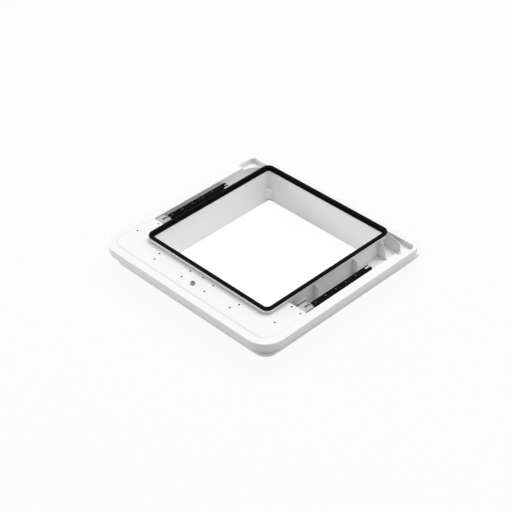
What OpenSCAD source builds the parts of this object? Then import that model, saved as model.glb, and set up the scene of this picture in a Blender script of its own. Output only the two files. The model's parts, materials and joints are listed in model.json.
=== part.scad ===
// Caravan roof vent: open frame with neck seal and two lift arms, lid and crank unit not fitted.
// Millimetres, +Z up. Origin: centre of the roof cut-out, on the roof plane.
// X runs along the front edge, -Y is the front (platform), +Y is the hinge side.

/* [Roof opening] */
// side of the square hole cut in the roof
cutout = 400; // [360:1:500]
// gap between the neck and the edge of the roof hole, each side
cutout_gap = 8; // [2:0.5:14]
// depth of the neck below the roof plane
neck_drop = 27; // [20:1:50]
// height of the neck's top edge over the roof plane
neck_top = 59; // [58:0.5:75]
// thickness of the neck wall
neck_wall = 4; // [3:0.5:6]
// corner radius inside the neck
neck_r = 6; // [4:0.5:12]

/* [Rim] */
// width of the rim beyond the neck, each side
rim_reach = 84; // [76:1:110]
// reach of the rim in front of the neck
rim_front_reach = 89; // [80:1:120]
// reach of the rim behind the neck
rim_back_reach = 38; // [36:1:60]
// top of the rim over the roof plane
rim_top = 52; // [46:0.5:56]
// height of the downturned lip
lip_h = 19; // [12:0.5:28]
// width of the rim's top at the front and the sides
rim_wide = 24; // [20:0.5:32]
// width of the rim's top at the back
rim_back_wide = 18; // [16:0.5:30]
// corner radius at the front
rim_r_front = 52; // [40:1:70]
// corner radius at the back
rim_r_back = 34; // [24:1:50]
// radius of the rim's soft upper edge
rim_soft = 2; // [1:0.25:2.5]
// thickness of the moulding
wall = 2.6; // [2:0.1:4]

/* [Tray and platform] */
// rise of the front platform over the rim
platform_rise = 1.5; // [0.5:0.5:3]
// width of the slope from the platform down to the rim
platform_slope = 4; // [2:0.5:6]
// reach of the platform beside the neck, measured back from the neck's front
platform_side = 60; // [40:1:90]
// corner radius of the tray wall at the back
tray_r_back = 50; // [36:1:54]
// step from the tray's back wall out to the rim
back_step = 3; // [2:0.5:4]
// drop of the curved corner wall's top edge below the rim
corner_drop = 8; // [3:0.5:12]
// outward step of the pocket behind each curved corner wall
pocket_step = 15; // [4:0.5:16]
// depth of that pocket below the rim
pocket_deep = 14; // [12:0.5:34]
// thickness of the curved corner walls
corner_wall = 1.8; // [1.4:0.1:2.6]
// radius of the fillet between neck and platform
neck_fillet = 3; // [1.5:0.5:3.5]
// pitch of the ribs under the platform
rib_pitch = 50; // [40:1:60]
// thickness of ribs
rib_t = 2; // [1.5:0.1:3]
// clear height under the platform ribs
rib_clear = 14; // [8:1:25]
// distance of the gussets from the neck's middle, front and back
gusset_y = [-46, 82];
// reach of the gussets from the neck wall at their top
gusset_reach = 13; // [6:0.5:16]
// reach of the gussets at the floor
gusset_foot = 19; // [13:0.5:20]
// distance of the corner gussets from the neck's back face
corner_gusset_in = 22; // [14:1:30]
// reach of the corner gussets at the floor
corner_gusset_foot = 25; // [14:0.5:28]

/* [Roof flange] */
// overhang of the roof flange beyond the tray wall at the sides
flange_side = 1.4; // [1:0.1:6]
// reach of the flange behind the neck
flange_back_reach = 70; // [64:1:90]
// height of the flange edge
flange_h = 8; // [6:0.5:12]
// corner radius of the flange
flange_r = 32; // [24:1:45]
// width of the edge that stands on the roof
skirt = 3; // [2.5:0.5:6]

/* [Fixing holes] */
// hole radius for the inner frame's screws
inner_screw_r = 1.8; // [1.5:0.1:2.2]
// distance of those holes from the neck's inner walls
inner_screw_in = 4.5; // [4:0.25:5]
// length of the corner blocks that hold them, along each wall
block_leg = 15; // [14:0.5:18]
// height of the block tops over the roof plane
block_top = 12.5; // [6:0.5:16]
// distance of the block's underside from the neck's lower edge
block_up = 11; // [6:0.5:14]
// sideways place of the crank unit
drive_x = -1; // [-5:0.5:5]
// distance of the crank spindle in front of the neck
drive_front = 43; // [36:0.5:46]
// spacing of the crank unit's screws across
drive_sx = 76; // [60:1:90]
// spacing of the crank unit's screws front to back
drive_sy = 27; // [24:0.5:30]
// radius of the crank unit's screw holes
drive_hole_r = 2.3; // [1.8:0.1:2.6]
// radius of the other holes in the platform
small_hole_r = 2.3; // [1.6:0.1:2.6]
// half spacing of the latch holes' rear and front pairs
latch_half = [132.5, 125];
// distance of those two pairs in front of the neck
latch_front = [22, 43];
// sideways place of the latch pairs
latch_x = -6; // [-10:1:10]

/* [Seal] */
// radius of the rubber's round bead
bead_r = 4.5; // [3.5:0.25:5]
// distance of the bead's middle from the neck's inner face
bead_out = 8.6; // [8:0.1:9.5]
// height of the bead's middle over the rubber's underside
bead_up = 5.7; // [5:0.1:6.5]
// height of the rubber's flat foot
seal_foot = 3; // [2.6:0.1:4]
// thickness of the ring below the rubber
carrier_t = 2.5; // [2:0.5:4]
// reach of that ring from the neck's inner face
carrier_reach = 10; // [9.5:0.5:12]
// thickness of its downturned skirt
carrier_skirt = 2; // [1.5:0.1:2.5]
// gap between that skirt and the platform
carrier_gap = 0.6; // [0.4:0.1:1.5]

/* [Lift arms] */
// distance of the arms' middle from the tray's side wall
arm_in = 15.5; // [15:0.5:16]
// width of an arm
arm_w = 14; // [12:0.5:15]
// height of an arm
arm_h = 12; // [10:0.5:14]
// drop of the arm's top below the rim
arm_drop = 4; // [3:0.5:6]
// length from pivot to the fork's end
arm_len = 199; // [150:1:220]
// thickness of the arm's top
arm_web = 1.6; // [1.2:0.1:3]
// thickness of the arm's sides
arm_side = 1.6; // [1.2:0.1:2.2]
// number of holes in the arm's top
arm_holes = 5; // [3:1:6]
// pitch of those holes
arm_pitch = 32.5; // [25:0.5:34]
// radius of those holes
arm_hole_r = 1.4; // [1.2:0.1:2]
// length of the fork slot
fork_len = 14; // [12:0.5:20]
// width of the fork slot
fork_gap = 6; // [4.8:0.1:7]
// width of the fork's inner prong
fork_in = 2.4; // [2.3:0.1:4]

/* [Pivot] */
// distance of the pivot behind the platform's end
pivot_back = 23; // [22:0.5:26]
// radius of the pivot pin
pin_r = 2.5; // [2:0.1:3]
// running gap between pin and bush
pin_gap = 0.05; // [0.02:0.01:0.1]
// wall of the bush in the arm's eye
bush_wall = 1.45; // [1:0.05:2]
// radius of the arm's eye
eye_r = 8; // [7:0.25:8.5]
// radius of the bracket's nose
nose_r = 10; // [9:0.25:11]
// gap between the arm's eye and each cheek
cheek_gap = 0.35; // [0.3:0.05:0.8]
// width of the slot between the cheeks
slot_w = 7.5; // [6.5:0.1:8]
// thickness of the outer cheek
cheek_out = 9.5; // [7:0.1:10]
// thickness of the inner cheek
cheek_in = 9; // [7:0.1:9]
// thickness of the bracket's foot
foot_t = 6; // [5:0.5:7]

/* [Hinge] */
// distance of the knuckles from the middle
knuckle_x = 164; // [120:1:190]
// width of a knuckle
knuckle_w = 58; // [46:1:66]
// gap between its two ears
ear_gap = 8; // [6:0.5:16]
// radius of the ears
ear_r = 7.5; // [6:0.25:8]
// radius of the hinge pin hole
hinge_r = 2.55; // [2:0.05:3]
// height of the hinge axis over the flange
hinge_up = 15.5; // [14:0.5:22]
// distance of the hinge axis behind the rim
hinge_back = 18; // [16.5:0.5:20]
// thickness of the knuckle's foot
knuckle_t = 3; // [2.5:0.5:4]

/* [Hidden] */
$fn = 96;
eps = 1;
neck_out = cutout / 2 - cutout_gap;
neck_in = neck_out - neck_wall;
rim_x = neck_out + rim_reach;
rim_y0 = -neck_out - rim_front_reach;
rim_y1 = neck_out + rim_back_reach;
tray_x = rim_x - rim_wide;
tray_y0 = rim_y0 + rim_wide + 0.5;
back_y = rim_y1 - rim_back_wide;
tray_y1 = back_y - back_step;
tray_r = rim_r_front - rim_wide;
lip_under = rim_top - lip_h;
lip_run = rim_soft + wall + 4;
flange_x = tray_x + wall + flange_side;
flange_y0 = tray_y0 - wall - flange_side - 0.5;
flange_y1 = neck_out + flange_back_reach;
floor_z = flange_h - wall;
platform_z = rim_top + platform_rise;
platform_y = -neck_out + platform_side;
pocket_y = tray_y1 - tray_r_back + 3;
pocket_x = tray_x + pocket_step;
pocket_z = rim_top - pocket_deep;
pocket_r = 5;
drive_y = -neck_out - drive_front;
drive_boss_r = 9.5;
drive_bush_r = 5.5;
drive_bore_r = 2.5;
drive_boss_h = 12.5;
drive_rise = 5;
screw_boss_r = 4.6;
screw_boss_h = 14;
screw_hole_h = 12;
carrier_z = neck_top;
seal_z = carrier_z + carrier_t;
carrier_x = neck_in + carrier_reach;
skirt_low = platform_z + carrier_gap;
fin_t = 2;
fin_h = 2;
fin_fit = 0.05;
loose_at = [[drive_x, -neck_out - 12], [tray_x - 27, -neck_out - 10], [-tray_x + 9, -neck_out + 1],
    [tray_x - 37.5, platform_y - 7.5], [tray_x - 7, platform_y - 11],
    [-tray_x + 25.5, platform_y - 7.5], [-neck_out - 16, -neck_out + 7.5]];
arm_x = tray_x - arm_in;
arm_top = rim_top - arm_drop;
arm_low = arm_top - arm_h;
pivot_y = platform_y + pivot_back;
pivot_z = rim_top - 0.5 - nose_r;
cheek_top = pivot_z + nose_r;
shoulder_y = pivot_y + nose_r + 3;
arm_end = pivot_y + arm_len;
eye_w = slot_w - 2 * cheek_gap;
slot_x = arm_x - 1.75;
bush_r = pin_r + pin_gap + bush_wall;
core_fit = 0.05;
core_w = arm_w - 2 * (arm_side + core_fit);
core_low = arm_low + 2;
core_top = arm_top - arm_web - core_fit;
core_end = arm_end - fork_len - 0.5;
peg_drop = 0.2;
hole_y0 = shoulder_y + 9;
outer_x = slot_x + slot_w / 2 + cheek_out;
inner_x = slot_x - slot_w / 2 - cheek_in;
tab_x = inner_x - 11.75;
tab_t = 3;
tab_front = 10;
tab_back = 18;
shelf_z = pivot_z - nose_r - foot_t - 1.5;
foot_z = shelf_z + foot_t;
bracket_y0 = platform_y + 0.7;
bracket_y1 = pivot_y + nose_r + 2;
cross_t = 4;
slot_y = pivot_y - eye_r - 2;
stop_gap = 0.3;
screw_r = 1.75;
screw_head_r = 3.2;
screw_head_h = 2.4;
screw_x = (tab_x + tab_t + inner_x) / 2;
screw_y = [pivot_y - 11, pivot_y + 7];
screw_len = 14;
pin_head_r = 4;
pin_head_h = 1.8;
clip_t = 0.8;
clip_r = 4.6;
groove_r = pin_r - 0.4;
groove_w = 1;
groove_x = inner_x - 0.1 - groove_w;
hinge_y = rim_y1 + hinge_back;
hinge_z = flange_h + hinge_up;
knuckle_y0 = rim_y1 + 3;
knuckle_y1 = hinge_y + ear_r + 1;
hinge_screw_y = (knuckle_y0 + hinge_y - ear_r) / 2 + 0.5;
hinge_screw_dx = knuckle_w / 2 - 8;
hinge_head_r = 2.9;
white = [0.95, 0.95, 0.94];
ivory = [0.9, 0.89, 0.82];
black = [0.06, 0.06, 0.06];
steel = [0.7, 0.71, 0.73];
grey = [0.55, 0.58, 0.63];

// plan outline with one radius for the front corners and one for the back corners
module plan(xh, y0, y1, rf, rb) {
    translate([-xh, y0 + rf])
        square([2 * xh, y1 - rb - y0 - rf]);
    translate([-xh + rf, y0])
        square([2 * (xh - rf), rf + eps]);
    translate([-xh + rb, y1 - rb - eps])
        square([2 * (xh - rb), rb + eps]);
    for (s = [-1, 1]) {
        translate([s * (xh - rf), y0 + rf])
            circle(r = rf);
        translate([s * (xh - rb), y1 - rb])
            circle(r = rb);
    }
}

// carries a section (x outward from the outline, y up) round that outline
module run_round(xh, y0, y1, rf, rb) {
    translate([xh, y1 - rb, 0])
        rotate([90, 0, 0])
            linear_extrude(y1 - rb - y0 - rf)
                children();
    translate([-xh, y0 + rf, 0])
        rotate([0, 0, 180])
            rotate([90, 0, 0])
                linear_extrude(y1 - rb - y0 - rf)
                    children();
    translate([-xh + rb, y1, 0])
        rotate([0, 0, 90])
            rotate([90, 0, 0])
                linear_extrude(2 * (xh - rb))
                    children();
    translate([xh - rf, y0, 0])
        rotate([0, 0, -90])
            rotate([90, 0, 0])
                linear_extrude(2 * (xh - rf))
                    children();
    translate([xh - rb, y1 - rb, 0])
        rotate_extrude(angle = 90)
            translate([rb, 0])
                children();
    translate([-xh + rb, y1 - rb, 0])
        rotate([0, 0, 90])
            rotate_extrude(angle = 90)
                translate([rb, 0])
                    children();
    translate([-xh + rf, y0 + rf, 0])
        rotate([0, 0, 180])
            rotate_extrude(angle = 90)
                translate([rf, 0])
                    children();
    translate([xh - rf, y0 + rf, 0])
        rotate([0, 0, 270])
            rotate_extrude(angle = 90)
                translate([rf, 0])
                    children();
}

// rod along X from a given start
module rod_x(x0, len, r) {
    translate([x0, 0, 0])
        rotate([0, 90, 0])
            cylinder(h = len, r = r);
}

// rim edge with soft upper corner and downturned lip, section
module lip_section() {
    lap = eps / 5;
    translate([-wall, lip_under])
        square([wall, lip_h - rim_soft]);
    translate([-lip_run, rim_top - wall])
        square([lip_run - rim_soft, wall]);
    translate([-rim_soft, rim_top - rim_soft])
        intersection() {
            circle(r = rim_soft);
            translate([-lap, -lap])
                square(rim_soft + lap);
        }
}

// tray opening with its two back pockets
module tray_plan() {
    plan(tray_x, tray_y0, tray_y1, tray_r, tray_r_back);
}

module pocket_plan(grow) {
    x0 = tray_x - tray_r_back;
    translate([x0, pocket_y - grow])
        square([pocket_x - x0 + grow, back_y - pocket_y - pocket_r + grow]);
    translate([x0, pocket_y])
        square([pocket_x - x0 - pocket_r, back_y - pocket_y + grow]);
    translate([pocket_x - pocket_r, back_y - pocket_r])
        circle(r = pocket_r + grow);
}

// opening above the curved corner walls and the tray's back wall
module pocket_mouth() {
    both()
        pocket_plan(0);
    translate([-tray_x + tray_r_back - eps, pocket_y])
        square([2 * (tray_x - tray_r_back + eps), back_y - pocket_y]);
}

module both() {
    children();
    mirror([1, 0, 0])
        children();
}

module neck_plan(grow) {
    plan(neck_out + grow, -neck_out - grow, neck_out + grow,
        neck_r + neck_wall + grow, neck_r + neck_wall + grow);
}

module throat_plan() {
    plan(neck_in, -neck_in, neck_in, neck_r, neck_r);
}

// places of the loose holes in the platform
module loose_holes(r) {
    for (p = loose_at)
        translate(p)
            circle(r = r);
    for (k = [0, 1])
        for (s = [-1, 1])
            translate([latch_x + s * latch_half[k], -neck_out - latch_front[k]])
                circle(r = r);
}

module drive_holes(r) {
    for (sx = [-1, 1])
        for (sy = [0, 1])
            translate([drive_x + sx * drive_sx / 2, drive_y + sy * drive_sy])
                circle(r = r);
}

module platform_holes(screw, loose) {
    drive_holes(screw);
    loose_holes(loose);
}

module platform_plan() {
    intersection() {
        plan(tray_x + eps, tray_y0 - eps, tray_y1, tray_r + eps, tray_r_back);
        translate([-rim_x, rim_y0])
            square([2 * rim_x, platform_y - rim_y0]);
    }
}

// ribs, cross walls and bosses under the front platform
module platform_under() {
    rib_h = platform_z - wall - flange_h - rib_clear + eps;
    for (k = [0 : 3])
        for (s = [-1, 1])
            translate([s * (k + 0.5) * rib_pitch - rib_t / 2, tray_y0 - eps, flange_h + rib_clear])
                cube([rib_t, -neck_out - tray_y0 + 2 * eps, rib_h]);
    both() {
        translate([neck_out - eps, -neck_out, flange_h + rib_clear])
            cube([tray_x - neck_out + 2 * eps, rib_t, rib_h]);
        translate([neck_out - eps, platform_y - wall, floor_z])
            cube([tray_x - neck_out + 2 * eps, wall, platform_z - floor_z]);
    }
    translate([0, 0, platform_z - screw_boss_h])
        linear_extrude(screw_boss_h - eps)
            platform_holes(screw_boss_r, screw_boss_r);
    translate([drive_x, drive_y, platform_z - drive_boss_h])
        cylinder(h = drive_boss_h - eps, r = drive_boss_r);
}

// shelf in the side channel that carries an arm bracket
module shelf() {
    translate([tab_x, platform_y - eps, shelf_z - wall])
        cube([tray_x - tab_x + eps, bracket_y1 - platform_y + eps, wall]);
    translate([tab_x, bracket_y1 - wall, floor_z])
        cube([tray_x - tab_x + eps, wall, shelf_z - floor_z]);
    for (y = screw_y)
        translate([screw_x, y, floor_z])
            cylinder(h = shelf_z - floor_z - eps, r = screw_boss_r);
}

// fillet between the neck and the platform, section
module fillet_section() {
    difference() {
        translate([-eps, platform_z - eps])
            square([neck_fillet + eps, neck_fillet + eps]);
        translate([neck_fillet, platform_z + neck_fillet])
            circle(r = neck_fillet);
    }
}

module neck_root() {
    r = neck_r + neck_wall;
    translate([neck_out - r, -neck_out, 0])
        rotate([0, 0, -90])
            rotate([90, 0, 0])
                linear_extrude(2 * (neck_out - r))
                    fillet_section();
    both() {
        translate([neck_out - r, -neck_out + r, 0])
            rotate([0, 0, 270])
                rotate_extrude(angle = 90)
                    translate([r, 0])
                        fillet_section();
        translate([neck_out, platform_y, 0])
            rotate([90, 0, 0])
                linear_extrude(platform_side - r)
                    fillet_section();
    }
}

// slope round the platform down to the rim, section
module slope_section() {
    base = rim_top - wall / 2;
    polygon([[-eps, base], [platform_slope, base], [platform_slope, rim_top], [0, platform_z], [-eps, platform_z]]);
}

module platform_edge() {
    x = tray_x - tray_r;
    y = tray_y0 + tray_r;
    translate([x, tray_y0 - eps, 0])
        rotate([0, 0, -90])
            rotate([90, 0, 0])
                linear_extrude(2 * x)
                    slope_section();
    both() {
        translate([x, y, 0])
            rotate([0, 0, 270])
                rotate_extrude(angle = 90)
                    translate([tray_r + eps, 0])
                        slope_section();
        translate([tray_x + eps, platform_y, 0])
            rotate([90, 0, 0])
                linear_extrude(platform_y - y)
                    slope_section();
    }
}

// three-sided block in each lower corner of the neck
module neck_blocks() {
    for (a = [0 : 90 : 270])
        rotate([0, 0, a])
            translate([neck_in, neck_in, -neck_drop + block_up])
                linear_extrude(neck_drop - block_up + block_top)
                    polygon([[eps, eps], [-block_leg - eps, eps], [eps, -block_leg - eps]]);
}

// pocket shells behind the curved corner walls
module pocket_shell() {
    difference() {
        translate([0, 0, pocket_z - wall])
            linear_extrude(pocket_deep)
                pocket_plan(wall);
        translate([0, 0, pocket_z])
            linear_extrude(pocket_deep + eps)
                pocket_plan(0);
        translate([0, 0, -eps])
            linear_extrude(rim_top + 2 * eps)
                tray_plan();
    }
}

// thin plates between the tray wall and the lip
module rim_plates() {
    plate_h = lip_h - wall + eps - 4;
    for (s = [-1, 1]) {
        for (k = [-1.5, -0.5, 0.5, 1.5])
            translate([k * 2 * rib_pitch - rib_t / 2, rim_y0 + wall / 2, lip_under + 4])
                cube([rib_t, tray_y0 - rim_y0 - wall, plate_h]);
        for (k = [-2, -1, 0, 1])
            translate([s * (rim_x + tray_x) / 2 - (rim_wide - wall) / 2, k * 2 * rib_pitch, lip_under + 4])
                cube([rim_wide - wall, rib_t, plate_h]);
    }
    for (k = [-2.5, -1, 1, 2.5])
        translate([k * 2 * rib_pitch / 2 - rib_t / 2, back_y + wall / 2, floor_z])
            cube([rib_t, rim_back_wide - 2 * wall, rim_top - floor_z - eps]);
}

module tray_wall() {
    difference() {
        translate([0, 0, floor_z])
            linear_extrude(rim_top - wall / 2 - floor_z)
                difference() {
                    plan(tray_x + wall, tray_y0 - wall, back_y + wall, tray_r + wall, tray_r_back + wall);
                    tray_plan();
                }
        translate([0, 0, rim_top - corner_drop])
            linear_extrude(corner_drop + eps)
                pocket_mouth();
        translate([0, 0, pocket_z])
            linear_extrude(pocket_deep + eps)
                difference() {
                    both()
                        pocket_plan(0);
                    plan(tray_x + corner_wall, tray_y0, tray_y1 + corner_wall, tray_r, tray_r_back + corner_wall);
                }
    }
}

module floor_and_flange() {
    translate([0, 0, floor_z])
        linear_extrude(wall)
            difference() {
                plan(flange_x, flange_y0, flange_y1, flange_r, flange_r);
                throat_plan();
                intersection() {
                    tray_plan();
                    translate([-rim_x, rim_y0])
                        square([2 * rim_x, platform_y - wall - rim_y0]);
                }
            }
    linear_extrude(flange_h)
        difference() {
            plan(flange_x, flange_y0, flange_y1, flange_r, flange_r);
            plan(flange_x - skirt, flange_y0 + skirt, flange_y1 - skirt, flange_r - skirt, flange_r - skirt);
        }
}

module rim_top_plate() {
    translate([0, 0, rim_top - wall])
        linear_extrude(wall)
            difference() {
                plan(rim_x - lip_run + eps, rim_y0 + lip_run - eps, rim_y1 - lip_run + eps,
                    rim_r_front - lip_run + eps, rim_r_back - lip_run + eps);
                tray_plan();
                pocket_mouth();
            }
}

// rib from the neck wall to the channel's floor
module gusset(y, foot, top) {
    translate([neck_out, y + rib_t / 2, 0])
        rotate([90, 0, 0])
            linear_extrude(rib_t)
                polygon([[-eps, floor_z], [foot, floor_z], [foot, flange_h], [gusset_reach, top], [-eps, top]]);
}

// white moulding: rim, platform, channels, neck and roof flange
module roof_frame() {
    color(white)
        difference() {
            union() {
                run_round(rim_x, rim_y0, rim_y1, rim_r_front, rim_r_back)
                    lip_section();
                rim_top_plate();
                tray_wall();
                both()
                    pocket_shell();
                floor_and_flange();
                translate([0, 0, platform_z - wall])
                    linear_extrude(wall)
                        platform_plan();
                platform_under();
                platform_edge();
                translate([0, 0, -neck_drop])
                    linear_extrude(neck_drop + neck_top)
                        neck_plan(0);
                neck_root();
                both()
                    shelf();
                rim_plates();
                both() {
                    for (y = gusset_y)
                        gusset(y, gusset_foot, arm_top);
                    gusset(neck_out - corner_gusset_in, corner_gusset_foot, platform_z);
                }
                for (s = [-1, 1])
                    for (t = [-1, 1])
                        translate([s * knuckle_x + t * hinge_screw_dx, hinge_screw_y, 0])
                            cylinder(h = flange_h - eps, r = screw_boss_r);
            }
            difference() {
                translate([0, 0, -neck_drop - eps])
                    linear_extrude(neck_drop + neck_top + 2 * eps)
                        throat_plan();
                neck_blocks();
            }
            for (sx = [-1, 1])
                for (sy = [-1, 1])
                    translate([sx * (neck_in - inner_screw_in), sy * (neck_in - inner_screw_in), -neck_drop - eps])
                        cylinder(h = neck_drop + block_top + eps - 3, r = inner_screw_r);
            translate([0, 0, platform_z - screw_hole_h])
                linear_extrude(screw_hole_h + eps)
                    platform_holes(drive_hole_r, small_hole_r);
            translate([drive_x, drive_y, platform_z - drive_boss_h - eps])
                cylinder(h = drive_boss_h + 2 * eps, r = drive_bush_r);
            for (s = [-1, 1]) {
                for (y = screw_y)
                    translate([s * screw_x, y, shelf_z + foot_t - screw_len])
                        cylinder(h = screw_len, r = screw_r);
                for (t = [-1, 1])
                    translate([s * knuckle_x + t * hinge_screw_dx, hinge_screw_y, -eps])
                        cylinder(h = flange_h + 2 * eps, r = screw_r);
            }
        }
}

// outline that runs round the throat's wall at a given distance from the middle
module fin_plan(x) {
    plan(x, -x, x, neck_r + x - neck_in, neck_r + x - neck_in);
}

// ring on the neck's top edge that holds the rubber
module seal_carrier() {
    color(white)
        union() {
            translate([0, 0, carrier_z])
                linear_extrude(carrier_t)
                    difference() {
                        fin_plan(carrier_x);
                        throat_plan();
                    }
            translate([0, 0, skirt_low])
                linear_extrude(carrier_z + carrier_t - skirt_low)
                    difference() {
                        fin_plan(carrier_x);
                        fin_plan(carrier_x - carrier_skirt);
                    }
            translate([0, 0, carrier_z + eps])
                linear_extrude(carrier_t - eps + fin_h)
                    difference() {
                        fin_plan(neck_out + 1 + fin_t);
                        fin_plan(neck_out + 1);
                    }
        }
}

// round bead on a flat foot, section outward from the neck's inner face
module seal_section() {
    difference() {
        union() {
            translate([0, seal_z])
                square([bead_out, seal_foot]);
            translate([bead_out, seal_z + bead_up])
                circle(r = bead_r);
        }
        translate([neck_wall + 1 - fin_fit, seal_z - eps])
            square([fin_t + 2 * fin_fit, fin_h + fin_fit + eps]);
    }
}

// rubber profile round the neck
module neck_seal() {
    color(black)
        run_round(neck_in, -neck_in, neck_in, neck_r, neck_r)
            seal_section();
}

// places of the pegs along an arm
module along_arm() {
    for (k = [0 : arm_holes - 1])
        translate([arm_x, hole_y0 + k * arm_pitch, 0])
            children();
}

// black channel bar with holes in its top; at its end a slot, a thin inner prong and the outer wall
module lift_arm() {
    color(black)
        difference() {
            translate([arm_x - arm_w / 2, shoulder_y, arm_low])
                cube([arm_w, arm_end - shoulder_y, arm_h]);
            translate([arm_x - arm_w / 2 + arm_side, shoulder_y - eps, arm_low - eps])
                cube([arm_w - 2 * arm_side, arm_end - shoulder_y + 2 * eps, arm_h - arm_web + eps]);
            translate([arm_x - arm_w / 2 - eps, arm_end - fork_len, arm_low - eps])
                cube([arm_side + 2 * eps, fork_len + eps, arm_h - arm_web + eps]);
            translate([arm_x - arm_w / 2 + fork_in, arm_end - fork_len, arm_low - eps])
                cube([fork_gap, fork_len + eps, arm_h + 2 * eps]);
            translate([0, 0, arm_top - arm_web - eps])
                linear_extrude(arm_web + 2 * eps)
                    along_arm()
                        circle(r = arm_hole_r);
        }
}

module right_lift_arm() {
    lift_arm();
}

module left_lift_arm() {
    mirror([1, 0, 0])
        lift_arm();
}

// ivory bar inside the channel: pivot eye, neck, and pegs that fill the holes
module arm_core() {
    color(ivory)
        difference() {
            union() {
                translate([arm_x - core_w / 2, shoulder_y, core_low])
                    cube([core_w, core_end - shoulder_y, core_top - core_low]);
                translate([slot_x - eye_w / 2, pivot_y, arm_low])
                    cube([eye_w, shoulder_y - pivot_y + eps, core_top - arm_low]);
                translate([0, pivot_y, pivot_z])
                    rod_x(slot_x - eye_w / 2, eye_w, eye_r);
                translate([0, 0, core_top - eps])
                    linear_extrude(arm_top - peg_drop - core_top + eps)
                        along_arm()
                            circle(r = arm_hole_r - core_fit);
            }
            translate([0, pivot_y, pivot_z])
                rod_x(slot_x - eye_w, 2 * eye_w, bush_r);
        }
}

module right_arm_core() {
    arm_core();
}

module left_arm_core() {
    mirror([1, 0, 0])
        arm_core();
}

// bearing sleeve in an arm's eye
module arm_bush() {
    color(grey)
        difference() {
            translate([0, pivot_y, pivot_z])
                rod_x(slot_x - eye_w / 2, eye_w, bush_r);
            translate([0, pivot_y, pivot_z])
                rod_x(slot_x - eye_w, 2 * eye_w, pin_r + pin_gap);
        }
}

module right_arm_bush() {
    arm_bush();
}

module left_arm_bush() {
    mirror([1, 0, 0])
        arm_bush();
}

module cheek(x0, t) {
    translate([x0, bracket_y0, shelf_z])
        cube([t, pivot_y - bracket_y0, cheek_top - shelf_z]);
    translate([x0, pivot_y - eps, shelf_z])
        cube([t, nose_r + eps, pivot_z - shelf_z]);
    translate([0, pivot_y, pivot_z])
        rod_x(x0, t, nose_r);
}

// bearing block for an arm: foot, two cheeks with a slot, tab wall
module arm_bracket() {
    color(ivory)
        difference() {
            union() {
                translate([tab_x, bracket_y0, shelf_z])
                    cube([outer_x - tab_x, bracket_y1 - bracket_y0, foot_t]);
                cheek(inner_x, cheek_in);
                cheek(slot_x + slot_w / 2, cheek_out);
                translate([inner_x, bracket_y0, shelf_z])
                    cube([outer_x - inner_x, slot_y - bracket_y0, cheek_top - shelf_z]);
                translate([tab_x, bracket_y0, shelf_z])
                    cube([outer_x - tab_x, cross_t, arm_top - shelf_z]);
                translate([tab_x, pivot_y - tab_front, shelf_z])
                    cube([tab_t, tab_front + tab_back, arm_top - shelf_z]);
                translate([inner_x + eps, pivot_y + eye_r + 0.8, shelf_z])
                    cube([cheek_in + slot_w, nose_r - eye_r, arm_low - stop_gap - shelf_z]);
            }
            translate([0, pivot_y, pivot_z])
                rod_x(inner_x - eps, outer_x - inner_x + 2 * eps, pin_r);
            for (y = screw_y)
                translate([screw_x, y, shelf_z - eps])
                    cylinder(h = foot_t + 2 * eps, r = screw_r + 0.2);
        }
}

module right_arm_bracket() {
    arm_bracket();
}

module left_arm_bracket() {
    mirror([1, 0, 0])
        arm_bracket();
}

// headed pin through both cheeks and the arm's eye
module pivot_pin() {
    x0 = groove_x - 2;
    color(steel)
        difference() {
            translate([0, pivot_y, pivot_z])
                union() {
                    rod_x(x0, outer_x - x0, pin_r);
                    rod_x(outer_x, pin_head_h, pin_head_r);
                }
            translate([0, pivot_y, pivot_z])
                difference() {
                    rod_x(groove_x, groove_w, pin_r + eps);
                    rod_x(groove_x - eps, groove_w + 2 * eps, groove_r);
                }
        }
}

module right_pivot_pin() {
    pivot_pin();
}

module left_pivot_pin() {
    mirror([1, 0, 0])
        pivot_pin();
}

// open ring in the pin's groove
module pivot_clip() {
    color(steel)
        difference() {
            translate([0, pivot_y, pivot_z])
                rod_x(groove_x + groove_w - clip_t, clip_t, clip_r);
            translate([0, pivot_y, pivot_z])
                rod_x(groove_x - eps, groove_w + 2 * eps, groove_r);
            translate([groove_x - eps, pivot_y - groove_r * 0.8, pivot_z])
                cube([groove_w + 2 * eps, groove_r * 1.6, 2 * clip_r]);
        }
}

module right_pivot_clip() {
    pivot_clip();
}

module left_pivot_clip() {
    mirror([1, 0, 0])
        pivot_clip();
}

// pan-head screw, underside of the head at z = 0
module pan_screw(head_r, len) {
    difference() {
        union() {
            cylinder(h = screw_head_h * 0.6, r = head_r);
            cylinder(h = screw_head_h, r = head_r * 0.78);
            translate([0, 0, -len])
                cylinder(h = len + eps, r = screw_r);
        }
        for (a = [0, 90])
            rotate([0, 0, a])
                translate([0, 0, screw_head_h])
                    cube([head_r * 1.1, head_r * 0.26, screw_head_h * 1.1], center = true);
    }
}

module bracket_screws() {
    color(steel)
        for (y = screw_y)
            translate([screw_x, y, foot_z])
                pan_screw(screw_head_r, screw_len);
}

module right_bracket_screws() {
    bracket_screws();
}

module left_bracket_screws() {
    mirror([1, 0, 0])
        bracket_screws();
}

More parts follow.
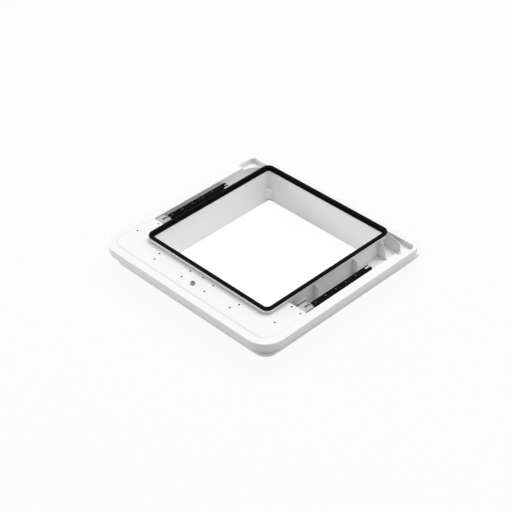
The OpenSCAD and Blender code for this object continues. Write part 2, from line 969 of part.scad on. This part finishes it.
// hinge lug with two ears on a screwed foot
module hinge_knuckle() {
    x0 = knuckle_x - knuckle_w / 2;
    ear_w = (knuckle_w - ear_gap) / 2;
    color(white)
        difference() {
            union() {
                translate([x0, knuckle_y0, flange_h])
                    cube([knuckle_w, knuckle_y1 - knuckle_y0, knuckle_t]);
                for (x = [x0, x0 + ear_w + ear_gap]) {
                    translate([0, hinge_y, hinge_z])
                        rod_x(x, ear_w, ear_r);
                    translate([x, hinge_y - ear_r, flange_h])
                        cube([ear_w, 2 * ear_r, hinge_up]);
                }
            }
            translate([0, hinge_y, hinge_z])
                rod_x(x0 - eps, knuckle_w + 2 * eps, hinge_r);
            for (t = [-1, 1])
                translate([knuckle_x + t * hinge_screw_dx, hinge_screw_y, flange_h - eps])
                    cylinder(h = knuckle_t + 2 * eps, r = screw_r + 0.2);
        }
}

module right_hinge_knuckle() {
    hinge_knuckle();
}

module left_hinge_knuckle() {
    mirror([1, 0, 0])
        hinge_knuckle();
}

module hinge_screws() {
    color(steel)
        for (t = [-1, 1])
            translate([knuckle_x + t * hinge_screw_dx, hinge_screw_y, flange_h + knuckle_t])
                pan_screw(hinge_head_r, knuckle_t + flange_h - 0.5);
}

module right_hinge_screws() {
    hinge_screws();
}

module left_hinge_screws() {
    mirror([1, 0, 0])
        hinge_screws();
}

// flanged bush for the crank spindle, pushed in from below, its collar standing over the platform
module drive_bush() {
    low = platform_z - drive_boss_h;
    tall = drive_boss_h + drive_rise;
    color(grey)
        difference() {
            translate([drive_x, drive_y, 0])
                union() {
                    translate([0, 0, low - eps])
                        cylinder(h = tall + eps, r = drive_bush_r);
                    translate([0, 0, low - 2])
                        cylinder(h = 2, r = drive_boss_r);
                }
            translate([drive_x, drive_y, low - 2 - eps])
                cylinder(h = tall + 2 + 2 * eps, r = drive_bore_r);
        }
}

roof_frame();
seal_carrier();
neck_seal();
left_lift_arm();
right_lift_arm();
left_arm_core();
right_arm_core();
left_arm_bush();
right_arm_bush();
left_arm_bracket();
right_arm_bracket();
left_pivot_pin();
right_pivot_pin();
left_pivot_clip();
right_pivot_clip();
left_bracket_screws();
right_bracket_screws();
left_hinge_knuckle();
right_hinge_knuckle();
left_hinge_screws();
right_hinge_screws();
drive_bush();
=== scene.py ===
"""Looks of a caravan roof vent frame: white moulding, rubber neck seal, black lift arms in ivory brackets."""

import json
import math

import bmesh
import bpy
from mathutils import Matrix, Vector


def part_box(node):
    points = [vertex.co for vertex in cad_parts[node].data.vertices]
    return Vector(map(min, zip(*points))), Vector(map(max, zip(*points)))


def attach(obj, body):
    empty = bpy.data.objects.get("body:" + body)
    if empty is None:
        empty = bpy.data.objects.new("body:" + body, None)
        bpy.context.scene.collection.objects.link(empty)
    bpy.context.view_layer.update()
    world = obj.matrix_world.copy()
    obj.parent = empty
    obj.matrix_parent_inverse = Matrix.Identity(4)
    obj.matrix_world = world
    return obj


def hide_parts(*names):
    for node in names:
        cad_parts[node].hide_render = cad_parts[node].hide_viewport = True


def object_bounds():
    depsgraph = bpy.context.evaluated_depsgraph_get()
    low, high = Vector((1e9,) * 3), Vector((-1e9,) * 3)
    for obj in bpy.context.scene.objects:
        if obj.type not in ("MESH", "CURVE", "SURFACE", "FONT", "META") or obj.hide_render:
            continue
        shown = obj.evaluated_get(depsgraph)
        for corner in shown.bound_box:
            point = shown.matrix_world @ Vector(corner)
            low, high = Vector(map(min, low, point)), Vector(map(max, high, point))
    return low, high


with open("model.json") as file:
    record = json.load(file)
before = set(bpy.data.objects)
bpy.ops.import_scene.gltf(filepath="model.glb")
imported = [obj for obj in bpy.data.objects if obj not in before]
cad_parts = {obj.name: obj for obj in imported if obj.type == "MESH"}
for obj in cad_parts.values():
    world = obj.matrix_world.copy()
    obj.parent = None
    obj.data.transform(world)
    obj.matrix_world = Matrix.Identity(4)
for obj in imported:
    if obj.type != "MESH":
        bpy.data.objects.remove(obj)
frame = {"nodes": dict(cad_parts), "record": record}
cad_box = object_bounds()

MM = 0.001

# Camera: found from the square seal's picture, in metres from the roof cut-out's centre
CAMERA_AT = Vector((1.8931, -1.8063, 2.0326))
CAMERA_AZIMUTH = math.radians(46.96)
CAMERA_ELEVATION = math.radians(37.84)
CAMERA_ROLL = math.radians(-2.057)
CAMERA_SEES = 50
IMAGE_SIDE = 512
HALF_PIXEL = 0.5 / IMAGE_SIDE
FOCAL_PIXELS = 1412
SENSOR_MM = 36

# Studio: each lamp's place, width in metres and watts; a whiter card lies on the floor under the throat
LAMPS = {
    "overhead": ((0.1, 1.2, 4.4), 3.4, 163),
    "camera_left": ((-2.4, -1.6, 0.6), 1.6, 32),
    "camera_right": ((2.2, 2.0, 0.9), 1.6, 11),
}
SKY_STRENGTH = 0.34
FLOOR_HALF = 14
FLOOR_DROP = 0.5 * MM
FLOOR_TONE = (0.58, 0.58, 0.58)
FLOOR_SEEN_WHITE = 0.94
CARD_HALF = 188 * MM
CARD_TONE = (0.9, 0.9, 0.9)

# Edge softness of the mouldings
FRAME_EDGE = 0.7 * MM
BLOCK_EDGE = 0.6 * MM
ARM_EDGE = 0.8 * MM
PEG_EDGE = 0.3 * MM
EDGE_STEPS = 2
SHARP_ANGLE = math.radians(32)
SLOPE_ANGLE = math.radians(16)
FLAT_ANGLE = math.radians(0.4)
WELD = 1e-6
FLATS_WEIGHT = 100

# Rubber section
BEAD_RADIUS = 4.5 * MM
BEAD_OUT = 8.6 * MM
BEAD_UP = 5.7 * MM
BEAD_STEPS = 30
SEAL_FOOT = 3 * MM
FOOT_SOFT = 0.5 * MM
SEAL_CORNER = 6 * MM
SEAL_CORNER_STEPS = 20

# Screws: the dome and the cross recess are shares of the head's radius and height
BRACKET_HEAD = 3.2 * MM
BRACKET_SEED = 3
HINGE_HEAD = 2.9 * MM
HINGE_SEED = 7
SCREW_HEAD_HIGH = 2.4 * MM
SCREW_HEAD_SOFT = 0.15 * MM
SCREW_SHANK = 1.7 * MM
SCREW_TIP = 1 * MM
SCREW_TIP_SHARE = 0.6
SCREW_STEPS = 40
DOME_FOOT = 0.42
DOME_RISE = 0.58
DOME_DEGREES = range(90, 0, -10)
RECESS_REACH = 0.56
RECESS_BLADE = 0.3
RECESS_DEEP = 0.62
RECESS_NARROW = 0.45
RECESS_OVER = 0.2 * MM
RECESS_SPARE = 0.4 * MM

# Painted shade on the white moulding: full in the platform's screw holes, a trace in creases and on the platform's
# slope
PAINTED_SHADE_MARK = "painted_shade_amount"
PAINTED_SHADE_TONE = (0.012, 0.012, 0.012)
HOLE_RADIUS = 2.3 * MM
HOLE_RIM = HOLE_RADIUS + FRAME_EDGE + 0.05 * MM
DRIVE_HOLES = [(x, y) for x in (-39, 37) for y in (-235, -208)]
LATCH_HOLES = [(-138.5, -214), (126.5, -214), (-131, -235), (119, -235)]
CLIP_HOLES = [
    (-1, -204), (225, -202), (-243, -191), (214.5, -139.5), (245, -143), (-226.5, -139.5), (-208, -184.5)]
# Painted shade on the platform's slope: faces at these heights and tilts are darkened a little, as the tilted slope
# falls in shade
SLOPE_PAINTED_SHADE = 0.085
SLOPE_LIES = (52.05 * MM, 53.45 * MM)
SLOPE_TILT = (math.cos(math.radians(21.6)), math.cos(math.radians(10)))
# Painted shade in creases: ambient occlusion within this reach darkens the tone, scaled by the gain and capped
CREASE_REACH = 10 * MM
CREASE_GAIN = 2.4
CREASE_MOST = 0.07
CREASE_SAMPLES = 8

# Textures: size of the grain, and its share in tone, gloss and relief
EDGE_SAMPLES = 6
CLOUD_SIZE, CLOUD_TONE = 60 * MM, 0.7
STREAK_SIZE, STREAK_TONE, STREAK_GLOSS = 9 * MM, 0.3, 0.06
STREAK_RUN = (1, 0.15, 1)
SPARK_DEPTH, SPARK_GLOSS = 0.08 * MM, 0.12
LINE_SIZE, LINE_GLOSS, LINE_RELIEF, LINE_DEPTH = 0.25 * MM, 0.12, 0.15, 0.03 * MM
LINE_RUN = (0.08, 1, 1)
TARNISH_SIZE, TARNISH_TONE, TARNISH_GLOSS, TARNISH_DULL = 4 * MM, 0.6, 0.08, 0.78
METAL_EDGE = 0.1 * MM
BLOOM_SIZE, BLOOM_TONE, BLOOM_GLOSS = 14 * MM, 0.5, 0.16
PORE_SIZE, PORE_TONE, PORE_GLOSS, PORE_RELIEF, PORE_DEPTH = 0.6 * MM, 0.2, 0.06, 0.2, 0.06 * MM
RUBBER_DARK = (0.003, 0.003, 0.003)
RUBBER_PALE = (0.008, 0.008, 0.008)
RUBBER_ROUGH = 0.5
RUBBER_EDGE = 0.4 * MM
RUBBER_SHEEN = 0.05


class Value:
    """A node's socket that takes part in plain arithmetic."""

    def __init__(self, network, socket):
        self.network = network
        self.socket = socket

    def math(self, operation, first, second):
        return self.network.add("ShaderNodeMath", {"operation": operation}, {0: first, 1: second})

    def __add__(self, other):
        return self.math("ADD", self, other)

    __radd__ = __add__

    def __sub__(self, other):
        return self.math("SUBTRACT", self, other)

    def __rsub__(self, other):
        return self.math("SUBTRACT", other, self)

    def __mul__(self, other):
        return self.math("MULTIPLY", self, other)


class Network:
    """A node tree that is built one call at a time."""

    def add(self, kind, settings=None, sockets=None, out=0):
        node = self.tree.nodes.new(kind)
        for key, value in (settings or {}).items():
            setattr(node, key, value)
        for key, value in (sockets or {}).items():
            if isinstance(value, Value):
                self.tree.links.new(value.socket, node.inputs[key])
            else:
                node.inputs[key].default_value = value
        return Value(self, node.outputs[out]) if node.outputs else None


class Finish(Network):
    """A material in the making."""

    def __init__(self, name):
        self.material = bpy.data.materials.new(name)
        self.material.use_nodes = True
        self.tree = self.material.node_tree
        self.tree.nodes.clear()

    def place(self):
        return self.add("ShaderNodeTexCoord", out="Object")

    def noise(self, size, detail, stretch=(1, 1, 1)):
        """Noise from 0 to 1 whose grains are about that many metres across."""
        spread = self.add("ShaderNodeMapping", {}, {"Vector": self.place(), "Scale": stretch})
        return self.add("ShaderNodeTexNoise", {}, {"Vector": spread, "Scale": 1 / size, "Detail": detail})

    def mix(self, factor, first, second):
        return self.add("ShaderNodeMix", {"data_type": "RGBA"}, {0: factor, 6: first, 7: second}, out=2)

    def bump(self, height, strength, depth, edge):
        """Fine relief over an edge that catches the light as a rounded one does."""
        soft = self.add("ShaderNodeBevel", {"samples": EDGE_SAMPLES}, {"Radius": edge})
        return self.add("ShaderNodeBump", {}, {
            "Height": height, "Strength": strength, "Distance": depth, "Normal": soft})

    def close(self, **sockets):
        values = {key.replace("_", " "): value for key, value in sockets.items()}
        shader = self.add("ShaderNodeBsdfPrincipled", {}, values)
        self.add("ShaderNodeOutputMaterial", {}, {"Surface": shader})
        return self.material


def with_painted_shade(finish, tone):
    """A tone darkened by painted shade in its creases, found by ambient occlusion, and by the painted shade that a
    mesh is marked with.
    """
    occlusion = {"samples": CREASE_SAMPLES, "only_local": True}
    creases = 1 - finish.add("ShaderNodeAmbientOcclusion", occlusion, {"Distance": CREASE_REACH}, out="AO")
    creases = creases.math("MINIMUM", creases * CREASE_GAIN, CREASE_MOST)
    tone = finish.mix(creases, tone, (*PAINTED_SHADE_TONE, 1))
    marked = finish.add("ShaderNodeAttribute", {"attribute_name": PAINTED_SHADE_MARK}, out="Fac")
    return finish.mix(marked, tone, (*PAINTED_SHADE_TONE, 1))


def moulded(name, pale, deep, rough, grain, relief, edge, painted_shade=False, **constants):
    """Moulded plastic: two close tones in slow clouds, a fine spark texture and a faint flow streak, with painted
    shade in creases and marked places where asked.
    """
    finish = Finish(name)
    clouds = finish.noise(CLOUD_SIZE, 2.0)
    streaks = finish.noise(STREAK_SIZE, 2.0, STREAK_RUN)
    spark = finish.noise(grain, 4.0)
    tone = finish.mix(clouds * CLOUD_TONE + streaks * STREAK_TONE, (*deep, 1), (*pale, 1))
    # painted shade in creases and on marked faces
    if painted_shade:
        tone = with_painted_shade(finish, tone)
    gloss = rough + (spark - 0.5) * SPARK_GLOSS + (streaks - 0.5) * STREAK_GLOSS
    texture = finish.bump(spark, relief, SPARK_DEPTH, edge)
    return finish.close(Base_Color=tone, Roughness=gloss, Normal=texture, **constants)


def turned_metal(name, colour, rough):
    """Bright stainless: fine drawn lines and a little tarnish."""
    finish = Finish(name)
    lines = finish.noise(LINE_SIZE, 2.0, LINE_RUN)
    tarnish = finish.noise(TARNISH_SIZE, 3.0)
    dull = tuple(c * TARNISH_DULL for c in colour)
    tone = finish.mix(tarnish * TARNISH_TONE, (*colour, 1), (*dull, 1))
    gloss = rough + lines * LINE_GLOSS + tarnish * TARNISH_GLOSS
    texture = finish.bump(lines, LINE_RELIEF, LINE_DEPTH, METAL_EDGE)
    return finish.close(Base_Color=tone, Roughness=gloss, Normal=texture, Metallic=1.0)


def sealing_rubber(name):
    """Extruded rubber: fine pores, a powdery bloom and a dull sheen."""
    finish = Finish(name)
    bloom = finish.noise(BLOOM_SIZE, 4.0)
    pores = finish.noise(PORE_SIZE, 3.0)
    tone = finish.mix(bloom * BLOOM_TONE + pores * PORE_TONE, (*RUBBER_DARK, 1), (*RUBBER_PALE, 1))
    gloss = RUBBER_ROUGH + bloom * BLOOM_GLOSS + pores * PORE_GLOSS
    texture = finish.bump(pores, PORE_RELIEF, PORE_DEPTH, RUBBER_EDGE)
    return finish.close(Base_Color=tone, Roughness=gloss, Normal=texture, Specular_IOR_Level=RUBBER_SHEEN)


FINISHES = {
    # the white moulding carries painted shade in its creases and marked places
    "white_plastic": moulded(
        "white_moulding", pale=(0.93, 0.93, 0.925), deep=(0.905, 0.907, 0.905),
        rough=0.36, grain=0.9 * MM, relief=0.06, edge=0.9 * MM, painted_shade=True),
    "black_plastic": moulded(
        "black_arm_moulding", pale=(0.006, 0.006, 0.0065), deep=(0.0035, 0.0035, 0.004),
        rough=0.42, grain=0.7 * MM, relief=0.22, edge=0.7 * MM, Specular_IOR_Level=0.04),
    "ivory_plastic": moulded(
        "ivory_bearing_moulding", pale=(0.55, 0.55, 0.508), deep=(0.49, 0.49, 0.457),
        rough=0.40, grain=0.8 * MM, relief=0.08, edge=0.6 * MM),
    # Painted shade: the ivory moulding again at about half its tone, for the arm cores
    "shaded_ivory": moulded(
        "shaded_ivory_moulding", pale=(0.27, 0.27, 0.25), deep=(0.22, 0.22, 0.205),
        rough=0.46, grain=0.8 * MM, relief=0.08, edge=0.3 * MM),
    "grey_bearing": moulded(
        "grey_bush_moulding", pale=(0.34, 0.34, 0.37), deep=(0.28, 0.28, 0.31),
        rough=0.38, grain=0.6 * MM, relief=0.1, edge=0.3 * MM),
    "seal_rubber": sealing_rubber("seal_rubber"),
    "steel": turned_metal("bright_stainless", (0.66, 0.66, 0.65), 0.24),
}
SLOT_OF = {part["node"]: part["material_slot"] for part in frame["record"]["subparts"]}
CORES = ("left_arm_core", "right_arm_core")


def body_of(node):
    return next(body for body, nodes in frame["record"]["behaviour"]["bodies"].items() if node in nodes)


def finished(piece, node, slot):
    """Gives a piece its finish and seats it in place of the node that it stands for."""
    piece.data.materials.clear()
    # the arm cores take the ivory in painted shade, at about half its tone
    piece.data.materials.append(FINISHES["shaded_ivory" if node in CORES else slot])
    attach(piece, body_of(node))
    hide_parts(node)
    return piece


def new_object(name, data):
    piece = bpy.data.objects.new(name, data)
    bpy.context.scene.collection.objects.link(piece)
    return piece


def mesh_from(work, name):
    """A new mesh with the work's faces."""
    mesh = bpy.data.meshes.new(name)
    work.to_mesh(mesh)
    work.free()
    return mesh


def settled(piece):
    """The piece with its modifiers made into a plain mesh."""
    evaluated = piece.evaluated_get(bpy.context.evaluated_depsgraph_get())
    mesh = bpy.data.meshes.new_from_object(evaluated)
    piece.modifiers.clear()
    piece.data = mesh
    return piece


def smooth_by_angle(mesh):
    mesh.shade_smooth()
    mesh.set_sharp_from_angle(angle=SHARP_ANGLE)


class Recipe(Network):
    """A geometry node tree with named inputs."""

    SOCKETS = {
        float: "NodeSocketFloat",
        int: "NodeSocketInt",
        bpy.types.Object: "NodeSocketObject",
        bpy.types.Material: "NodeSocketMaterial",
    }

    def __init__(self, name, **inputs):
        self.tree = bpy.data.node_groups.new(name, "GeometryNodeTree")
        self.tree.interface.new_socket("Geometry", in_out="INPUT", socket_type="NodeSocketGeometry")
        self.tree.interface.new_socket("Geometry", in_out="OUTPUT", socket_type="NodeSocketGeometry")
        self.values = inputs
        self.identifiers = {}
        for key, value in inputs.items():
            kind = next(sort for sort in self.SOCKETS if isinstance(value, sort))
            made = self.tree.interface.new_socket(key, in_out="INPUT", socket_type=self.SOCKETS[kind])
            self.identifiers[key] = made.identifier
        self.entry = self.tree.nodes.new("NodeGroupInput")

    def given(self, name):
        return Value(self, self.entry.outputs[name])

    def cook(self, piece, geometry, material):
        """Ends the tree, runs it on a piece and leaves a plain mesh."""
        geometry = self.add("GeometryNodeRealizeInstances", {}, {"Geometry": geometry})
        geometry = self.add("GeometryNodeSetMaterial", {}, {"Geometry": geometry, "Material": self.given(material)})
        self.add("NodeGroupOutput", {}, {"Geometry": geometry})
        step = piece.modifiers.new(self.tree.name, "NODES")
        step.node_group = self.tree
        for key, value in self.values.items():
            step[self.identifiers[key]] = value
        return settled(piece)


# Neck seal: a round bead on a flat foot, carried round the neck
def rubber_section():
    """The section's outline in metres: x outwards from the neck's inner face, y down from the foot's underside."""
    drop = BEAD_UP - SEAL_FOOT
    side = math.sqrt(BEAD_RADIUS ** 2 - drop ** 2)
    first = math.pi + math.atan2(drop, side)
    turn = [first - k * (first + math.pi / 2) / BEAD_STEPS for k in range(BEAD_STEPS + 1)]
    bead = [(BEAD_OUT + BEAD_RADIUS * math.cos(a), BEAD_UP + BEAD_RADIUS * math.sin(a)) for a in turn]
    foot = [(FOOT_SOFT, 0), (0, FOOT_SOFT), (0, SEAL_FOOT - FOOT_SOFT), (FOOT_SOFT, SEAL_FOOT)]
    outline = [*foot, *bead, (BEAD_OUT, 0)]
    data = bpy.data.curves.new("rubber_section", "CURVE")
    line = data.splines.new("POLY")
    line.points.add(len(outline) - 1)
    for point, (x, y) in zip(line.points, outline):
        point.co = (x, -y, 0, 1)
    line.use_cyclic_u = True
    return new_object("rubber_section", data)


def neck_seal():
    low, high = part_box("neck_seal")
    section = rubber_section()
    inner = high[0] - BEAD_OUT - BEAD_RADIUS
    recipe = Recipe(
        "seal_run", Side=2 * inner, Corner=SEAL_CORNER, Steps=SEAL_CORNER_STEPS, Base=float(low[2]),
        Section=section, Rubber=FINISHES["seal_rubber"])
    run = recipe.add("GeometryNodeCurvePrimitiveQuadrilateral", {}, {
        "Width": recipe.given("Side"), "Height": recipe.given("Side")})
    run = recipe.add("GeometryNodeFilletCurve", {"mode": "POLY"}, {
        "Curve": run, "Radius": recipe.given("Corner"), "Count": recipe.given("Steps")})
    run = recipe.add("GeometryNodeSetCurveNormal", {"mode": "Z_UP"}, {"Curve": run})
    shape = recipe.add("GeometryNodeObjectInfo", {}, {"Object": recipe.given("Section")}, out="Geometry")
    tube = recipe.add("GeometryNodeCurveToMesh", {}, {"Curve": run, "Profile Curve": shape})
    lift = recipe.add("ShaderNodeCombineXYZ", {}, {"Z": recipe.given("Base")})
    tube = recipe.add("GeometryNodeSetPosition", {}, {"Geometry": tube, "Offset": lift})
    piece = recipe.cook(new_object("neck_seal_run", bpy.data.meshes.new("neck_seal_run")), tube, "Rubber")
    bpy.data.objects.remove(section)
    work = bmesh.new()
    work.from_mesh(piece.data)
    bmesh.ops.recalc_face_normals(work, faces=work.faces)
    work.to_mesh(piece.data)
    work.free()
    smooth_by_angle(piece.data)
    return finished(piece, "neck_seal", "seal_rubber")


# Screws: one pan-head screw, set at each place with its cross turned a little differently
def turned(name, outline):
    """A round solid from its outline of (radius, height) pairs, from the lower end to the top."""
    work = bmesh.new()
    spread = [2 * math.pi * k / SCREW_STEPS for k in range(SCREW_STEPS)]
    rings = []
    for radius, height in outline:
        if radius == 0:
            rings.append([work.verts.new((0, 0, height))])
        else:
            rings.append([work.verts.new((radius * math.cos(a), radius * math.sin(a), height)) for a in spread])
    for lower, upper in zip(rings, rings[1:]):
        for k in range(SCREW_STEPS):
            corners = [
                lower[k % len(lower)], lower[(k + 1) % len(lower)],
                upper[(k + 1) % len(upper)], upper[k % len(upper)]]
            work.faces.new(list(dict.fromkeys(corners)))
    return new_object(name, mesh_from(work, name))


def cross_cutter(reach, blade, depth, top):
    """The crossed wedges that press the recess into a screw head."""
    work = bmesh.new()
    for turn in (0, 90):
        wedge = bmesh.ops.create_cube(work, size=1)["verts"]
        for vert in wedge:
            narrow = RECESS_NARROW if vert.co.z < 0 else 1.0
            height = top + RECESS_OVER + (vert.co.z - 0.5) * (depth + RECESS_SPARE)
            vert.co = Vector((vert.co.x * 2 * reach * narrow, vert.co.y * blade * narrow, height))
        bmesh.ops.rotate(work, verts=wedge, cent=(0, 0, 0), matrix=Matrix.Rotation(math.radians(turn), 3, "Z"))
    return new_object("cross_cutter", mesh_from(work, "cross_cutter"))


def pan_screw(head, length):
    """A pan-head screw with a cross recess, the underside of its head at height 0."""
    top = SCREW_HEAD_HIGH
    tilts = [math.radians(degrees) for degrees in DOME_DEGREES]
    dome = [(head * math.sin(a), top * (DOME_FOOT + DOME_RISE * math.cos(a))) for a in tilts]
    shank = [
        (0, -length), (SCREW_SHANK * SCREW_TIP_SHARE, -length), (SCREW_SHANK, -length + SCREW_TIP), (SCREW_SHANK, 0)]
    rim = [(head - SCREW_HEAD_SOFT, 0), (head, SCREW_HEAD_SOFT)]
    screw = turned("pan_screw", [*shank, *rim, *dome, (0, top)])
    cutter = cross_cutter(head * RECESS_REACH, head * RECESS_BLADE, top * RECESS_DEEP, top)
    recess = screw.modifiers.new("recess", "BOOLEAN")
    recess.object = cutter
    recess.operation = "DIFFERENCE"
    recess.solver = "EXACT"
    recess.use_self = True
    settled(screw)
    bpy.data.objects.remove(cutter)
    return screw


def screws(node, head, length, places, seat, seed):
    """The screws of one node, at their places on a seat height."""
    template = pan_screw(head, length)
    row = bpy.data.meshes.new(node + "_set")
    row.from_pydata([(x, y, seat) for x, y in places], [], [])
    recipe = Recipe("screw_set", Screw=template, Seed=seed, Steel=FINISHES["steel"])
    shape = recipe.add("GeometryNodeObjectInfo", {}, {"Object": recipe.given("Screw")}, out="Geometry")
    turn = recipe.add("FunctionNodeRandomValue", {"data_type": "FLOAT"}, {
        2: 0.0, 3: math.pi / 2, "Seed": recipe.given("Seed")}, out=1)
    turn = recipe.add("ShaderNodeCombineXYZ", {}, {"Z": turn})
    placed = recipe.add("GeometryNodeInstanceOnPoints", {}, {
        "Points": recipe.given("Geometry"), "Instance": shape, "Rotation": turn})
    piece = recipe.cook(new_object(node + "_set", row), placed, "Steel")
    bpy.data.objects.remove(template)
    smooth_by_angle(piece.data)
    return finished(piece, node, "steel")


def screw_pairs():
    """Bracket screws stand one behind the other, hinge screws side by side."""
    for k, side in enumerate(("left", "right")):
        low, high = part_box(side + "_bracket_screws")
        across = (low[0] + high[0]) / 2
        seat = high[2] - SCREW_HEAD_HIGH
        places = [(across, low[1] + BRACKET_HEAD), (across, high[1] - BRACKET_HEAD)]
        screws(side + "_bracket_screws", BRACKET_HEAD, seat - low[2], places, seat, BRACKET_SEED + k)
        low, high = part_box(side + "_hinge_screws")
        along = (low[1] + high[1]) / 2
        seat = high[2] - SCREW_HEAD_HIGH
        places = [(low[0] + HINGE_HEAD, along), (high[0] - HINGE_HEAD, along)]
        screws(side + "_hinge_screws", HINGE_HEAD, seat - low[2], places, seat, HINGE_SEED + k)


# Mouldings
def mark_painted_shade(mesh):
    """Marks painted shade: in full on the rims, walls and floors of the screw holes, found by their axes, and a
    trace on the slope round the platform.
    """
    axes = [Vector((x, y)) * MM for x, y in DRIVE_HOLES + LATCH_HOLES + CLIP_HOLES]

    def hole_at(spot):
        return next((k for k, axis in enumerate(axes) if (spot - axis).length < HOLE_RIM), None)

    home = [hole_at(vert.co.xy) for vert in mesh.vertices]
    mark = mesh.attributes.new(PAINTED_SHADE_MARK, "FLOAT", "FACE")
    for face, value in zip(mesh.polygons, mark.data):
        holes = {home[vert] for vert in face.vertices}
        # faces of a screw hole take the painted shade in full
        in_hole = len(holes) == 1 and None not in holes
        # the slope's faces take a trace of painted shade
        tilted = SLOPE_TILT[0] < face.normal.z < SLOPE_TILT[1]
        sloped = tilted and SLOPE_LIES[0] < face.center.z < SLOPE_LIES[1]
        value.value = 1.0 if in_hole else SLOPE_PAINTED_SHADE if sloped else 0.0


def softened(node, width, limit=SHARP_ANGLE, twin=None):
    """A node's solid, or its mirrored twin, with sharp edges rounded by a small radius, as a mould leaves them."""
    work = bmesh.new()
    work.from_mesh(frame["nodes"][twin or node].data)
    if twin:
        bmesh.ops.scale(work, vec=(-1, 1, 1), verts=work.verts)
    bmesh.ops.remove_doubles(work, verts=work.verts, dist=WELD)
    if twin:
        bmesh.ops.recalc_face_normals(work, faces=work.faces)
    bmesh.ops.dissolve_limit(work, angle_limit=FLAT_ANGLE, verts=work.verts, edges=work.edges)
    piece = new_object(node + "_soft", mesh_from(work, node + "_soft"))
    edge = piece.modifiers.new("edge", "BEVEL")
    edge.limit_method = "ANGLE"
    edge.angle_limit = limit
    edge.width = width
    edge.segments = EDGE_STEPS
    edge.use_clamp_overlap = True
    edge.miter_outer = "MITER_ARC"
    settled(piece)
    smooth_by_angle(piece.data)
    flats = piece.modifiers.new("flats", "WEIGHTED_NORMAL")
    flats.mode = "FACE_AREA"
    flats.weight = FLATS_WEIGHT
    flats.keep_sharp = True
    settled(piece)
    return finished(piece, node, SLOT_OF[node])


for node, body in frame["nodes"].items():
    body.data.materials.clear()
    body.data.materials.append(FINISHES[SLOT_OF[node]])


# Camera
def aim_camera():
    az, el, roll = CAMERA_AZIMUTH, CAMERA_ELEVATION, CAMERA_ROLL
    back = Vector((math.sin(az) * math.cos(el), -math.cos(az) * math.cos(el), math.sin(el)))
    level = Vector((math.cos(az), math.sin(az), 0))
    upright = back.cross(level)
    right = math.cos(roll) * level + math.sin(roll) * upright
    up = math.cos(roll) * upright - math.sin(roll) * level
    lens = bpy.data.cameras.new("camera")
    lens.sensor_width = SENSOR_MM
    lens.lens = SENSOR_MM * FOCAL_PIXELS / IMAGE_SIDE
    lens.shift_x = -HALF_PIXEL
    lens.shift_y = HALF_PIXEL
    lens.clip_end = CAMERA_SEES
    camera = bpy.data.objects.new("camera", lens)
    camera.matrix_world = Matrix((
        (right.x, up.x, back.x, CAMERA_AT.x),
        (right.y, up.y, back.y, CAMERA_AT.y),
        (right.z, up.z, back.z, CAMERA_AT.z),
        (0, 0, 0, 1),
    ))
    bpy.context.scene.collection.objects.link(camera)
    bpy.context.scene.camera = camera


# Studio: pale floor, soft sky, one broad lamp overhead and one on each side of the camera
def softbox(name, at, width, watts):
    """A square lamp that is aimed at the roof cut-out's centre."""
    lamp = bpy.data.lights.new(name, "AREA")
    lamp.shape = "SQUARE"
    lamp.size = width
    lamp.energy = watts
    box = new_object(name, lamp)
    box.location = at
    box.rotation_euler = (-Vector(at)).to_track_quat("-Z", "Y").to_euler()


def white_seen(finish, lit):
    """White for what the camera and mirrors see, over what lights the object."""
    white = finish.add("ShaderNodeEmission", {}, {"Color": (1, 1, 1, 1), "Strength": 1.0})
    path = finish.tree.nodes.new("ShaderNodeLightPath")
    seen = Value(finish, path.outputs["Is Camera Ray"]) + Value(finish, path.outputs["Is Glossy Ray"])
    seen = seen + Value(finish, path.outputs["Is Transmission Ray"])
    return finish.add("ShaderNodeMixShader", {}, {0: seen * FLOOR_SEEN_WHITE, 1: lit, 2: white})


def pale_floor(level):
    """A floor with a whiter card under the vent's throat."""
    corners = [(-1, -1), (1, -1), (1, 1), (-1, 1)]
    mesh = bpy.data.meshes.new("floor")
    mesh.from_pydata([(x * FLOOR_HALF, y * FLOOR_HALF, level) for x, y in corners], [], [(0, 1, 2, 3)])
    floor = new_object("floor", mesh)
    finish = Finish("pale_floor")
    spot = finish.add("ShaderNodeVectorMath", {"operation": "ABSOLUTE"}, {0: finish.place()})
    across = finish.add("ShaderNodeSeparateXYZ", {}, {"Vector": spot}, out="X")
    along = finish.add("ShaderNodeSeparateXYZ", {}, {"Vector": spot}, out="Y")
    reach = across.math("MAXIMUM", across, along)
    card = reach.math("LESS_THAN", reach, CARD_HALF)
    shade = finish.mix(card, (*FLOOR_TONE, 1), (*CARD_TONE, 1))
    matt = finish.add("ShaderNodeBsdfDiffuse", {}, {"Color": shade})
    finish.add("ShaderNodeOutputMaterial", {}, {"Surface": white_seen(finish, matt)})
    mesh.materials.append(finish.material)


def soft_sky():
    world = bpy.data.worlds.new("soft_sky")
    bpy.context.scene.world = world
    world.use_nodes = True
    world.node_tree.nodes["Background"].inputs["Color"].default_value = (1, 1, 1, 1)
    world.node_tree.nodes["Background"].inputs["Strength"].default_value = SKY_STRENGTH


aim_camera()
pale_floor(cad_box[0][2] - FLOOR_DROP)
soft_sky()
for name, (at, width, watts) in LAMPS.items():
    softbox(name, at, width, watts)

softened("left_lift_arm", ARM_EDGE)
softened("right_lift_arm", ARM_EDGE, twin="left_lift_arm")
softened("right_hinge_knuckle", BLOCK_EDGE)
softened("left_hinge_knuckle", BLOCK_EDGE, twin="right_hinge_knuckle")
for node in ("left_arm_bracket", "right_arm_bracket"):
    softened(node, BLOCK_EDGE)
for node in (*CORES, "drive_bush"):
    softened(node, PEG_EDGE)
# the white moulding, with painted shade marked in its screw holes and on its slope
mark_painted_shade(softened("roof_frame", FRAME_EDGE, limit=SLOPE_ANGLE).data)
softened("seal_carrier", BLOCK_EDGE)
neck_seal()
screw_pairs()

bpy.context.scene.view_settings.view_transform = "Standard"
